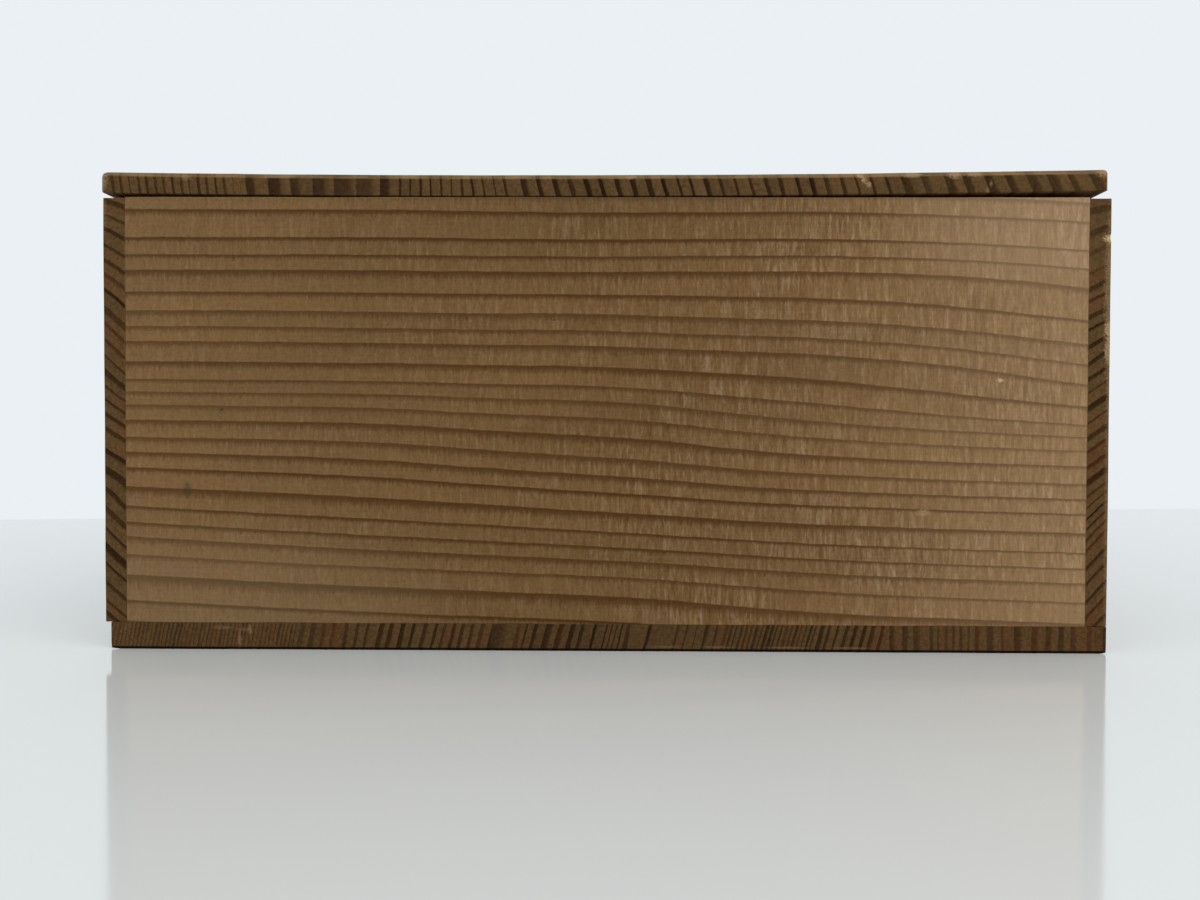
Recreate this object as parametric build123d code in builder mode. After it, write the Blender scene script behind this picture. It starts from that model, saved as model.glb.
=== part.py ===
from build123d import *
import math
import os

# Figure storage box: a pegged softwood box with a loose board lid on two cross battens.
# The front, a short end, faces -Y, and +Z is up.
# The origin is the middle of the footprint, on the surface that the box stands on.
# All sizes are in millimetres.

# Walls
box_width = 333.0
box_length = 424.0
side_thickness = 7.2
end_thickness = 7.2
wall_height = 141.5
side_top_drop = 0.3

# Bottom board, two planks glued edge to edge
bottom_thickness = 9.0
bottom_inset_left = 1.8
bottom_inset_right = 0.0
bottom_edge_plank_width = 72.0

# Lid board, two planks glued edge to edge and cupped, so that its long edges stand up
lid_thickness = 7.3
lid_overhang_left = 0.7
lid_inset_right = 1.3
lid_edge_plank_width = 44.0
lid_cup_radius = 9800.0
lid_lowest_x = -28.0
lid_seat_gap = 0.3

# Cross battens under the lid
batten_width = 18.0
batten_thickness = 7.0
batten_side_clearance = 2.2
batten_end_clearance = 1.5

# Softened edges
wall_arris = 0.3
bottom_arris = 0.4
bottom_worn_radius = 2.0
lid_worn_radius = 1.3
lid_end_arris = 0.9
lid_edge_arris = 0.5
batten_arris = 0.8

# Wooden pegs
peg_radius = 1.0
peg_clearance = 0.03
peg_recess = 0.1
hole_spare_depth = 0.3
corner_peg_length = 20.0
corner_peg_count = 4
corner_peg_margin = 18.0
bottom_peg_length = 21.0
side_row_count = 6
side_row_margin = 34.0
end_row_count = 4
end_row_margin = 32.0
batten_peg_length = 10.8
batten_peg_count = 5
batten_peg_margin = 28.0

# Places that follow from the sizes
half_width = box_width / 2
half_length = box_length / 2
side_height = wall_height - side_top_drop
inner_width = box_width - 2 * side_thickness
inner_length = box_length - 2 * end_thickness
side_centre_x = half_width - side_thickness / 2
end_centre_y = half_length - end_thickness / 2
bottom_left = -half_width + bottom_inset_left
bottom_right = half_width - bottom_inset_right
bottom_joint = bottom_right - bottom_edge_plank_width
lid_left = -half_width - lid_overhang_left
lid_right = half_width - lid_inset_right
lid_middle = (lid_left + lid_right) / 2
lid_joint = lid_left + lid_edge_plank_width
lid_seat_height = bottom_thickness + wall_height + lid_seat_gap
batten_length = inner_width - 2 * batten_side_clearance
batten_left = lid_middle - batten_length / 2
batten_right = lid_middle + batten_length / 2
batten_centre_y = inner_length / 2 - batten_end_clearance - batten_width / 2
batten_cup_radius = lid_cup_radius + batten_thickness

ON_THE_BOTTOM = (Align.CENTER, Align.CENTER, Align.MIN)


def spread(length, count):
    """Even places over a length, from one end of it to the other, about its middle."""
    step = length / (count - 1)
    return [step * index - length / 2 for index in range(count)]


# Places of the pegs
wall_middle = bottom_thickness + side_height / 2
corner_heights = [wall_middle + z for z in spread(side_height - 2 * corner_peg_margin, corner_peg_count)]
side_row = spread(box_length - 2 * side_row_margin, side_row_count)
end_row = spread(inner_width - 2 * end_row_margin, end_row_count)
left_places = [(-side_centre_x, y) for y in side_row]
right_places = [(side_centre_x, y) for y in side_row]
front_places = [(x, -end_centre_y) for x in end_row]
rear_places = [(x, end_centre_y) for x in end_row]
bottom_places = left_places + right_places + front_places + rear_places
batten_row = [lid_middle + x for x in spread(batten_length - 2 * batten_peg_margin, batten_peg_count)]


def between(places, left, right):
    """The places whose pegs reach into a plank that runs from left to right."""
    reach = peg_radius + peg_clearance
    return [place for place in places if left - reach < place[0] < right + reach]


def level_rods(side, end, radius, start, length, mode=Mode.ADD):
    """Level rods at one corner, from a depth under the side wall's face inwards."""
    places = [(side * (half_width - start), end * end_centre_y, z) for z in corner_heights]
    with Locations(*places):
        Cylinder(radius, length, rotation=(0, -90 * side, 0), align=ON_THE_BOTTOM, mode=mode)


def level_holes(side, end):
    """Holes for one corner's pegs, open at the side wall's face."""
    depth = peg_recess + corner_peg_length + hole_spare_depth
    level_rods(side, end, peg_radius + peg_clearance, 0, depth, mode=Mode.SUBTRACT)


def upright_holes(places):
    """Holes for upright pegs, open at the underside of the bottom board."""
    depth = peg_recess + bottom_peg_length + hole_spare_depth
    with Locations(*[(x, y, 0) for x, y in places]):
        Cylinder(peg_radius + peg_clearance, depth, align=ON_THE_BOTTOM, mode=Mode.SUBTRACT)


def cup_height(x, radius):
    """Height at x of a surface that is cupped with the lid, by its own radius."""
    return lid_seat_height + lid_cup_radius - math.sqrt(radius**2 - (x - lid_lowest_x) ** 2)


def batten_holes(end):
    """Holes for one batten's pegs, open at its underside, each at the height there."""
    depth = peg_recess + batten_peg_length + 2 * hole_spare_depth
    places = [
        (x, end * batten_centre_y, cup_height(x, batten_cup_radius) - hole_spare_depth)
        for x in batten_row
    ]
    with Locations(*places):
        Cylinder(peg_radius + peg_clearance, depth, align=ON_THE_BOTTOM, mode=Mode.SUBTRACT)


def cupped_strip(left, right, lower_radius, upper_radius):
    """The end view of a cupped board, a strip between two arcs about one centre."""
    middle = (left + right) / 2
    lower = [(x, cup_height(x, lower_radius)) for x in (left, middle, right)]
    upper = [(x, cup_height(x, upper_radius)) for x in (right, middle, left)]
    with BuildSketch(Plane.XZ) as strip:
        with BuildLine():
            ThreePointArc(*lower)
            Line(lower[-1], upper[0])
            ThreePointArc(*upper)
            Line(upper[-1], lower[0])
        make_face()
    return strip.sketch


os.makedirs("parts", exist_ok=True)

# End walls, held between the side walls
for name, end, places in (("front_end_board", -1, front_places), ("rear_end_board", 1, rear_places)):
    with BuildPart() as end_board:
        with Locations((0, end * end_centre_y, bottom_thickness)):
            Box(inner_width, end_thickness, wall_height, align=ON_THE_BOTTOM)
        fillet(end_board.edges(), wall_arris)
        level_holes(-1, end)
        level_holes(1, end)
        upright_holes(places)
    end_board.part.label = name
    export_step(end_board.part, f"parts/{name}.step")

# Side walls, over the ends of the end walls
for name, side, places in (("left_side_board", -1, left_places), ("right_side_board", 1, right_places)):
    with BuildPart() as side_board:
        with Locations((side * side_centre_x, 0, bottom_thickness)):
            Box(side_thickness, box_length, side_height, align=ON_THE_BOTTOM)
        fillet(side_board.edges(), wall_arris)
        level_holes(side, -1)
        level_holes(side, 1)
        upright_holes(places)
    side_board.part.label = name
    export_step(side_board.part, f"parts/{name}.step")

# Wide bottom plank, with its outer lower edge worn round
with BuildPart() as bottom_main_plank:
    with Locations(((bottom_left + bottom_joint) / 2, 0, 0)):
        Box(bottom_joint - bottom_left, box_length, bottom_thickness, align=ON_THE_BOTTOM)
    long_edges = bottom_main_plank.edges().filter_by(Axis.Y).group_by(Axis.X)
    fillet(long_edges[0].sort_by(Axis.Z)[0], bottom_worn_radius)
    fillet(bottom_main_plank.faces().sort_by(Axis.Z)[0].edges().filter_by(Axis.X), bottom_arris)
    upright_holes(between(bottom_places, bottom_left, bottom_joint))
bottom_main_plank.part.label = "bottom_main_plank"
export_step(bottom_main_plank.part, "parts/bottom_main_plank.step")

# Narrow bottom plank along the right-hand side
with BuildPart() as bottom_edge_plank:
    with Locations(((bottom_joint + bottom_right) / 2, 0, 0)):
        Box(bottom_edge_plank_width, box_length, bottom_thickness, align=ON_THE_BOTTOM)
    long_edges = bottom_edge_plank.edges().filter_by(Axis.Y).group_by(Axis.X)
    fillet(long_edges[-1].sort_by(Axis.Z)[0], bottom_arris)
    fillet(bottom_edge_plank.faces().sort_by(Axis.Z)[0].edges().filter_by(Axis.X), bottom_arris)
    upright_holes(between(bottom_places, bottom_joint, bottom_right))
bottom_edge_plank.part.label = "bottom_edge_plank"
export_step(bottom_edge_plank.part, "parts/bottom_edge_plank.step")

# Lid planks: name, span, which way its outer edge faces, and that edge's upper rounding
for name, left, right, outer, upper_round in (
    ("lid_edge_plank", lid_left, lid_joint, 0, lid_worn_radius),
    ("lid_main_plank", lid_joint, lid_right, -1, lid_edge_arris),
):
    with BuildPart() as lid_plank:
        strip = cupped_strip(left, right, lid_cup_radius, lid_cup_radius - lid_thickness)
        extrude(strip, amount=half_length, both=True)
        lower_edge, upper_edge = (
            lid_plank.edges().filter_by(Axis.Y).group_by(Axis.X)[outer].sort_by(Axis.Z)
        )
        fillet(upper_edge, upper_round)
        fillet(lower_edge, lid_edge_arris)
        end_arcs = lid_plank.edges().filter_by(GeomType.CIRCLE).sort_by(SortBy.LENGTH)[-4:]
        fillet(end_arcs.sort_by(Axis.Z)[-2:], lid_end_arris)
        if between([(x, 0) for x in batten_row], left, right):
            batten_holes(-1)
            batten_holes(1)
    lid_plank.part.label = name
    export_step(lid_plank.part, f"parts/{name}.step")

# Battens, bent to the lid's underside
for name, end in (("front_batten", -1), ("rear_batten", 1)):
    with BuildPart() as batten:
        strip = cupped_strip(batten_left, batten_right, batten_cup_radius, lid_cup_radius)
        extrude(strip.moved(Location((0, end * batten_centre_y, 0))), amount=batten_width / 2, both=True)
        low_face = batten.faces().filter_by(GeomType.CYLINDER).sort_by(Axis.Z)[0]
        fillet(low_face.edges(), batten_arris)
        batten_holes(end)
    batten.part.label = name
    export_step(batten.part, f"parts/{name}.step")

# Pegs of the corners, through the side walls into the end walls
for name, side, end in (
    ("front_left_corner_pegs", -1, -1),
    ("front_right_corner_pegs", 1, -1),
    ("rear_left_corner_pegs", -1, 1),
    ("rear_right_corner_pegs", 1, 1),
):
    with BuildPart() as corner_pegs:
        level_rods(side, end, peg_radius, peg_recess, corner_peg_length)
    corner_pegs.part.label = name
    export_step(corner_pegs.part, f"parts/{name}.step")

# Pegs of the bottom board, up into each wall
for name, places in (
    ("left_bottom_pegs", left_places),
    ("right_bottom_pegs", right_places),
    ("front_bottom_pegs", front_places),
    ("rear_bottom_pegs", rear_places),
):
    with BuildPart() as bottom_pegs:
        with Locations(*[(x, y, peg_recess) for x, y in places]):
            Cylinder(peg_radius, bottom_peg_length, align=ON_THE_BOTTOM)
    bottom_pegs.part.label = name
    export_step(bottom_pegs.part, f"parts/{name}.step")

# Pegs of the battens, up into the lid board
for name, end in (("front_batten_pegs", -1), ("rear_batten_pegs", 1)):
    with BuildPart() as batten_pegs:
        feet = [(x, end * batten_centre_y, cup_height(x, batten_cup_radius) + peg_recess) for x in batten_row]
        with Locations(*feet):
            Cylinder(peg_radius, batten_peg_length, align=ON_THE_BOTTOM)
    batten_pegs.part.label = name
    export_step(batten_pegs.part, f"parts/{name}.step")
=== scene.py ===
"""Looks of a plain softwood storage box: boards and their growth rings, a cupped loose lid and pegs."""

import math
import random

import bmesh
import bpy
from mathutils import Matrix, Vector, noise


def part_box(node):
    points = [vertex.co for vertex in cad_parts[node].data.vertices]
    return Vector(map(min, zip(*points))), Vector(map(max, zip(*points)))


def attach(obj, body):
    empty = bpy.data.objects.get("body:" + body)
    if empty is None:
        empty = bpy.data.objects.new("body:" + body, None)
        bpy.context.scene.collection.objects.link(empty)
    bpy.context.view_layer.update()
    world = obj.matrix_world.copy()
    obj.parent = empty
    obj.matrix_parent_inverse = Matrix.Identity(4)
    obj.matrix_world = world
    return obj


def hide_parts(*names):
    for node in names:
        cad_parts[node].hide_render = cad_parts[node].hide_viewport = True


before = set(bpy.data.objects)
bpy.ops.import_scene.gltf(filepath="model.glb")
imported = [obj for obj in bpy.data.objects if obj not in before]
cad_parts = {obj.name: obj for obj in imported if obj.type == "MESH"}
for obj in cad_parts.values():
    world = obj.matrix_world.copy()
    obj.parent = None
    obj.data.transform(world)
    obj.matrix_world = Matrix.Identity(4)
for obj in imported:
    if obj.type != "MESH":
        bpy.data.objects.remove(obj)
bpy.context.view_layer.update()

bl_info = {
    "name": "Wooden storage box",
    "version": (1, 0, 0),
    "blender": (4, 5, 0),
    "location": "View3D > Sidebar > Storage box",
    "description": "Makes the boards, lid, battens and pegs of a softwood storage box, and its table",
    "category": "Object",
}

MM = 0.001
AXES = {"X": 0, "Y": 1, "Z": 2}

# The lid board's hollow, as in the solids
LID_UNDERSIDE = 150.8
LID_THICKNESS = 7.3
LID_CUP_RADIUS = 9800.0
LID_LOWEST_X = -28.0

# Pegs and the holes they fill
PEG_CLEARANCE = 0.03
HOLE_SPARE_DEPTH = 0.3
HOLE_OVERRUN = 1.0
PEG_SIDES = 28

# The dome on a peg's driven end: two steps inwards, in shares of its radius, and their rises in mm
DOME_STEP = 0.35
DOME_RISES = (0.06, 0.03)

# Edges sharper than these angles, in degrees, stay sharp
BOARD_SHARP_DEGREES = 34
PEG_SHARP_DEGREES = 40

# Arrises: their steps, the radius in m where two boards meet, and the distance that counts as touching
ARRIS_SEGMENTS = 4
TIGHT_ARRIS = 0.0001
TOUCHING = 1e-6

# The front of the box, in mm
FRONT_Y = -212

# Looks that every board shares
RING_RIPPLE = 0.5
FIBRE_LEVEL = 0.26
PALE_STREAKS = 0.42
DARK_STREAKS = 0.85
FACE_ROUGHNESS = 0.5

# Camera of the photograph: its picture in pixels, and its place in m and turn in degrees
PICTURE_WIDTH = 1200
FOCAL_PIXELS = 970
SENSOR_WIDTH = 36.0
CAMERA_PLACE = (0.0018, -0.53346, 0.0730)
CAMERA_TURN = (88.93, -0.174, 0.565)

# Table, in m: its far edge runs a little aslant
TABLE_EDGE_Y = 0.328
TABLE_EDGE_SLOPE = 0.154
TABLE_EDGE_BLUR = 0.002
FLOOR_REACH = 4.0

# Lamps, in m
LAMP_TARGET = (0, 0, 0.08)
LAMP_SIZE = 1.2
WINDOW_PLACE = (0.7, -1.0, 1.1)
WINDOW_COLOUR = (1.0, 0.99, 0.97)
FILL_PLACE = (-0.7, -1.0, 1.1)
FILL_COLOUR = (0.97, 0.99, 1.0)

# Pegs that cross each board
CORNERS = {"left": ("front_left_corner_pegs", "rear_left_corner_pegs"),
           "right": ("front_right_corner_pegs", "rear_right_corner_pegs")}
SIDE_ROWS = {side: rows + (side + "_bottom_pegs",) for side, rows in CORNERS.items()}
END_ROWS = {end: (end + "_left_corner_pegs", end + "_right_corner_pegs", end + "_bottom_pegs")
            for end in ("front", "rear")}
BOTTOM_ROWS = ("left_bottom_pegs", "right_bottom_pegs", "front_bottom_pegs", "rear_bottom_pegs")
LID_ROWS = ("front_batten_pegs", "rear_batten_pegs")


def paint(red, green, blue):
    """A colour from its eight-bit values, as Blender's linear light."""
    def linear(level):
        share = level / 255
        return share / 12.92 if share <= 0.04045 else ((share + 0.055) / 1.055) ** 2.4

    return (linear(red), linear(green), linear(blue))


# Colours of the wood's streaks, years and marks, and of painted sheen, shade and highlights
# pale of the planer streaks, partly painted highlight on the ripples
STREAK = paint(200, 175, 145)
RED_YEAR = paint(78, 44, 24)
# painted sheen: pale grey that the front board's face is blended towards, most on its right
SHEEN_COLOUR = paint(176, 150, 120)
# painted shade: near black, for the contact shadow along the foot of the bottom board
FOOT_SHADE_COLOUR = paint(14, 9, 5)
PALE = paint(158, 132, 98)
SUNNED = paint(186, 160, 128)
SCUFF = paint(146, 118, 84)
RUBBED = paint(124, 102, 74)
CHIPPED = paint(162, 136, 100)
# pale of the foot's dashes: partly rubbed wood, partly painted highlight on the arris
FOOT_RUBBED_AND_LIT = paint(128, 104, 72)
FOOT_SCRATCH = paint(134, 110, 80)


# Settings that the panel shows

class BoxWoodSettings(bpy.types.PropertyGroup):
    """Colours of the wood"""
    wall_early: bpy.props.FloatVectorProperty(
        name="Wall wood", description="Colour of the pale early wood of the walls",
        subtype="COLOR", size=3, min=0, max=1, default=paint(116, 88, 54))
    wall_late: bpy.props.FloatVectorProperty(
        name="Wall rings", description="Colour of the dark late wood of the walls",
        subtype="COLOR", size=3, min=0, max=1, default=paint(79, 51, 22))
    end_early: bpy.props.FloatVectorProperty(
        name="End grain", description="Colour of the early wood where a board is cut across",
        subtype="COLOR", size=3, min=0, max=1, default=paint(90, 68, 42))
    end_late: bpy.props.FloatVectorProperty(
        name="End grain rings", description="Colour of the late wood where a board is cut across",
        subtype="COLOR", size=3, min=0, max=1, default=paint(36, 21, 9))
    # pale colour of rubbed edges: partly wear, partly painted highlight where an edge that faces up or out
    # catches the light
    worn: bpy.props.FloatVectorProperty(
        name="Worn edges", description="Colour of the edges that handling has rubbed pale",
        subtype="COLOR", size=3, min=0, max=1, default=paint(146, 120, 87))
    peg: bpy.props.FloatVectorProperty(
        name="Peg wood", description="Colour of the pegs' burnished ends",
        subtype="COLOR", size=3, min=0, max=1, default=paint(150, 120, 82))


class BoxShapeSettings(bpy.types.PropertyGroup):
    """Sizes of the small shapes"""
    cell: bpy.props.FloatProperty(
        name="Cell length", description="Length of the cells that a board's faces are divided into",
        unit="LENGTH", min=0.002, default=0.006)
    board_arris: bpy.props.FloatProperty(
        name="Board arris", description="Radius of a board's softened edges",
        unit="LENGTH", min=0.0001, default=0.0003)
    lid_arris: bpy.props.FloatProperty(
        name="Lid arris", description="Radius of the lid's worn upper edges",
        unit="LENGTH", min=0.0001, default=0.002)
    wear_depth: bpy.props.FloatProperty(
        name="Wear depth", description="How far handling has rubbed an edge back at most",
        unit="LENGTH", min=0, default=0.00012)


class BoxStageSettings(bpy.types.PropertyGroup):
    """Table and light"""
    table: bpy.props.FloatVectorProperty(
        name="Table", description="Colour of the glossy table top",
        subtype="COLOR", size=3, min=0, max=1, default=(0.683, 0.718, 0.72))
    backdrop: bpy.props.FloatVectorProperty(
        name="Backdrop", description="Colour of the paper behind the table",
        subtype="COLOR", size=3, min=0, max=1, default=paint(234, 240, 244))
    world_level: bpy.props.FloatProperty(
        name="Room light", description="Strength of the even light of the room", min=0, default=0.74)
    key_power: bpy.props.FloatProperty(
        name="Window light", description="Power of the large soft light from the right",
        unit="POWER", min=0, default=9.0)
    fill_power: bpy.props.FloatProperty(
        name="Fill light", description="Power of the weak soft light from the left",
        unit="POWER", min=0, default=4.0)


# Materials

class Recipe:
    """The nodes of one material or world, written as sums."""

    def __init__(self, owner):
        owner.use_nodes = True
        self.owner = owner
        self.tree = owner.node_tree
        self.tree.nodes.clear()

    def node(self, kind, **settings):
        made = self.tree.nodes.new(kind)
        for key, value in settings.items():
            setattr(made, key, value)
        return made

    def feed(self, socket, value):
        if isinstance(value, bpy.types.NodeSocket):
            self.tree.links.new(value, socket)
        else:
            socket.default_value = value

    def maths(self, operation, *values):
        made = self.node("ShaderNodeMath", operation=operation)
        for socket, value in zip(made.inputs, values):
            self.feed(socket, value)
        return made.outputs[0]

    def add(self, a, b):
        return self.maths("ADD", a, b)

    def less(self, a, b):
        return self.maths("SUBTRACT", a, b)

    def times(self, a, b):
        return self.maths("MULTIPLY", a, b)

    def power(self, a, b):
        return self.maths("POWER", a, b)

    def between(self, share, first, second):
        """The first value, giving way to the second by its share."""
        return self.add(first, self.times(share, self.less(second, first)))

    def ramp(self, value, start, end, low=0.0, high=1.0, kind="SMOOTHSTEP"):
        """value carried from start..end to low..high, and held level outside."""
        made = self.node("ShaderNodeMapRange", interpolation_type=kind, clamp=True)
        for socket, fed in zip(made.inputs, (value, start, end, low, high)):
            self.feed(socket, fed)
        return made.outputs[0]

    def point(self, x, y, z):
        made = self.node("ShaderNodeCombineXYZ")
        for socket, value in zip(made.inputs, (x, y, z)):
            self.feed(socket, value)
        return made.outputs[0]

    def parts(self, vector):
        """The x, y and z of a vector."""
        split = self.node("ShaderNodeSeparateXYZ")
        self.feed(split.inputs[0], vector)
        return list(split.outputs)

    def places(self):
        """The object's own x, y and z, in mm."""
        scaled = self.node("ShaderNodeVectorMath", operation="SCALE")
        self.feed(scaled.inputs[0], self.node("ShaderNodeTexCoord").outputs["Object"])
        scaled.inputs["Scale"].default_value = 1 / MM
        return self.parts(scaled.outputs[0])

    def clouds(self, x, y, z, detail=2.0, rough=0.5):
        """Soft random values about 0, between -0.5 and 0.5, at a place in cells."""
        made = self.node("ShaderNodeTexNoise", noise_dimensions="3D")
        self.feed(made.inputs["Vector"], self.point(x, y, z))
        made.inputs["Scale"].default_value = 1.0
        made.inputs["Detail"].default_value = detail
        made.inputs["Roughness"].default_value = rough
        return self.less(made.outputs[0], 0.5)

    def chance(self, value, seed):
        """Three random values from 0 to 1 for each whole number."""
        made = self.node("ShaderNodeTexWhiteNoise", noise_dimensions="2D")
        self.feed(made.inputs["Vector"], self.point(value, seed, 0.0))
        split = self.node("ShaderNodeSeparateColor")
        self.feed(split.inputs[0], made.outputs["Color"])
        return tuple(split.outputs)

    def profile(self, value, knots, smooth=True):
        """The value of a line drawn through the knots."""
        start, end = knots[0][0], knots[-1][0]
        low = min(level for _, level in knots)
        high = max(level for _, level in knots)
        span = (high - low) or 1.0
        made = self.node("ShaderNodeFloatCurve")
        curve = made.mapping.curves[0]
        places = [((x - start) / (end - start), (y - low) / span) for x, y in knots]
        curve.points[0].location = places[0]
        curve.points[1].location = places[-1]
        for place in places[1:-1]:
            curve.points.new(*place)
        for p in curve.points:
            p.handle_type = "AUTO_CLAMPED" if smooth else "VECTOR"
        made.mapping.update()
        self.feed(made.inputs["Value"], self.ramp(value, start, end, kind="LINEAR"))
        return self.add(self.times(made.outputs[0], span), low)

    def blend(self, share, first, second):
        """The first colour, giving way to the second by its share."""
        made = self.node("ShaderNodeMix", data_type="RGBA", blend_type="MIX")
        made.clamp_factor = True
        for name, value in (("Factor_Float", share), ("A_Color", first), ("B_Color", second)):
            socket = next(s for s in made.inputs if s.identifier == name)
            self.feed(socket, (*value, 1.0) if isinstance(value, tuple) else value)
        return next(s for s in made.outputs if s.identifier == "Result_Color")

    def shade(self, colour, level):
        """A colour made lighter or darker by a level about 1."""
        made = self.node("ShaderNodeVectorMath", operation="SCALE")
        self.feed(made.inputs[0], colour)
        self.feed(made.inputs["Scale"], level)
        return made.outputs[0]

    def relief(self, height, strength, distance):
        """The surface's normal where small heights stand up from it."""
        bump = self.node("ShaderNodeBump")
        bump.inputs["Strength"].default_value = strength
        bump.inputs["Distance"].default_value = distance
        self.feed(bump.inputs["Height"], height)
        return bump.outputs[0]

    def surface(self, inputs):
        """The shader of a solid surface, with its inputs by name."""
        shader = self.node("ShaderNodeBsdfPrincipled")
        for name, value in inputs.items():
            self.feed(shader.inputs[name], value)
        return shader.outputs[0]

    def looked_at(self):
        """1 for rays from the camera, by way of a mirror or glass too, and 0 for rays that only light."""
        ray = self.node("ShaderNodeLightPath")
        seen = self.maths("MAXIMUM", ray.outputs["Is Camera Ray"], ray.outputs["Is Glossy Ray"])
        return self.maths("MAXIMUM", seen, ray.outputs["Is Transmission Ray"])

    def mixed(self, share, first, second):
        """The first shader, giving way to the second by its share."""
        made = self.node("ShaderNodeMixShader")
        for socket, value in zip(made.inputs, (share, first, second)):
            self.feed(socket, value)
        return made.outputs[0]

    def done(self, shader, kind="ShaderNodeOutputMaterial"):
        """The finished material or world."""
        self.feed(self.node(kind).inputs[0], shader)
        return self.owner


class Grain:
    """How a board was cut from its log: the axes of its grain, and where its growth rings lie."""

    def __init__(self, along, across, depth, rings, lean=((-200, 0), (200, 0)), outer=0.0, seed=0.0,
                 bend=None, bark=1, wander=1.2, uneven=0.25):
        self.along, self.across, self.depth = along, across, depth
        self.rings = rings          # (place across in mm, number of the ring) from one edge to the other
        self.lean = lean            # (place across in mm, slope of the rings through the thickness)
        self.outer = outer          # place in the thickness, in mm, where the rings' places are read
        self.seed = seed
        self.bend = bend            # function that gives the rings' places along the board, or None
        self.bark = bark            # 1 where the bark was towards the higher places, else -1
        self.wander = wander        # slow waves of the rings along the board, in mm
        self.uneven = uneven        # how unequal the years are, in rings


class Finish:
    """Colours and surface of one board. A level may be one number, or an axis and (mm, level) knots."""

    def __init__(self, early, late, end_early, end_late, worn, line=0.32, end_line=0.4, end_contrast=1.0,
                 tone=None, stains=(), worn_share=0.3, streaks=1.0, bleach=None, red=0.1, grime=None):
        self.early, self.late = early, late
        self.end_early, self.end_late = end_early, end_late
        self.worn = worn
        self.line, self.end_line = line, end_line   # how much of a year its dark line takes
        self.end_contrast = end_contrast
        self.tone = tone
        self.stains = stains
        self.worn_share = worn_share
        self.streaks = streaks
        self.bleach = bleach        # share of painted sheen, a pale grey blend
        self.red = red              # how red some years are in the end grain
        self.grime = grime          # heights in mm between which the painted contact shade of the foot fades out


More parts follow.
